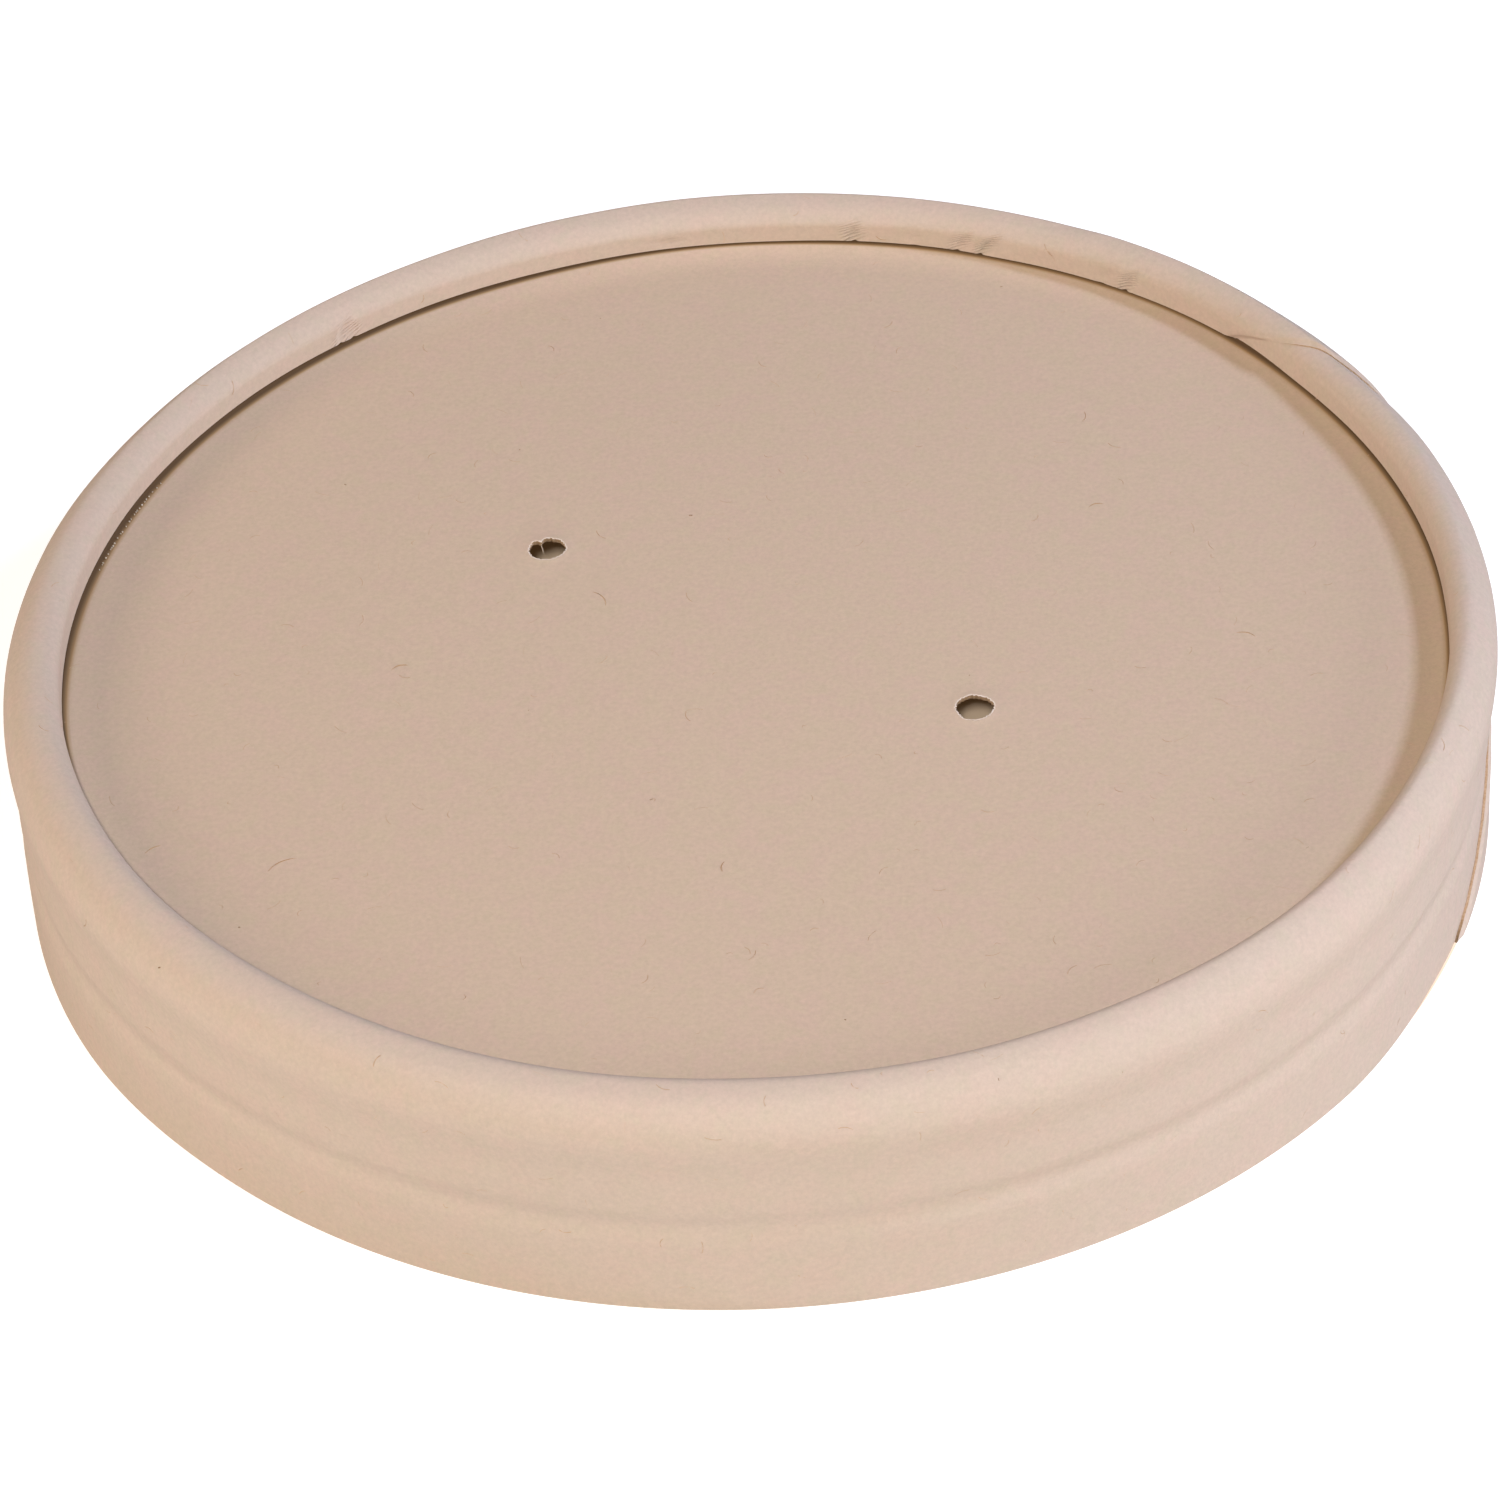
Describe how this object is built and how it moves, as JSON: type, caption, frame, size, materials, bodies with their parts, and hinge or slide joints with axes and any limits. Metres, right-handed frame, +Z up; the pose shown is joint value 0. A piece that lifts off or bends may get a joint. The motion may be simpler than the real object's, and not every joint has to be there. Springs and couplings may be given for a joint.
{
  "type": "paper soup cup lid",
  "caption": "Round kraft paperboard lid for a soup cup: recessed flat top with steam vents, rolled rim, and a skirt with a snap groove and a slanted lap seam.",
  "frame": {"origin": "centre of the skirt's cut edge, which is the plane the lid rests on", "axes": "+Z up along the lid's axis, from the skirt's cut edge to the rolled rim; +X to the right and -Y to the viewer in the picture"},
  "size_m": [0.1151, 0.115, 0.0196],
  "materials": {
    "disc_board": "uncoated unbleached paperboard, matte, plastic film on the underside",
    "band_board": "uncoated unbleached paperboard, matte, plastic film on the inside"
  },
  "bodies": {
    "root": {"top_disc": "disc_board", "side_band": "band_board"}
  },
  "joints": []
}
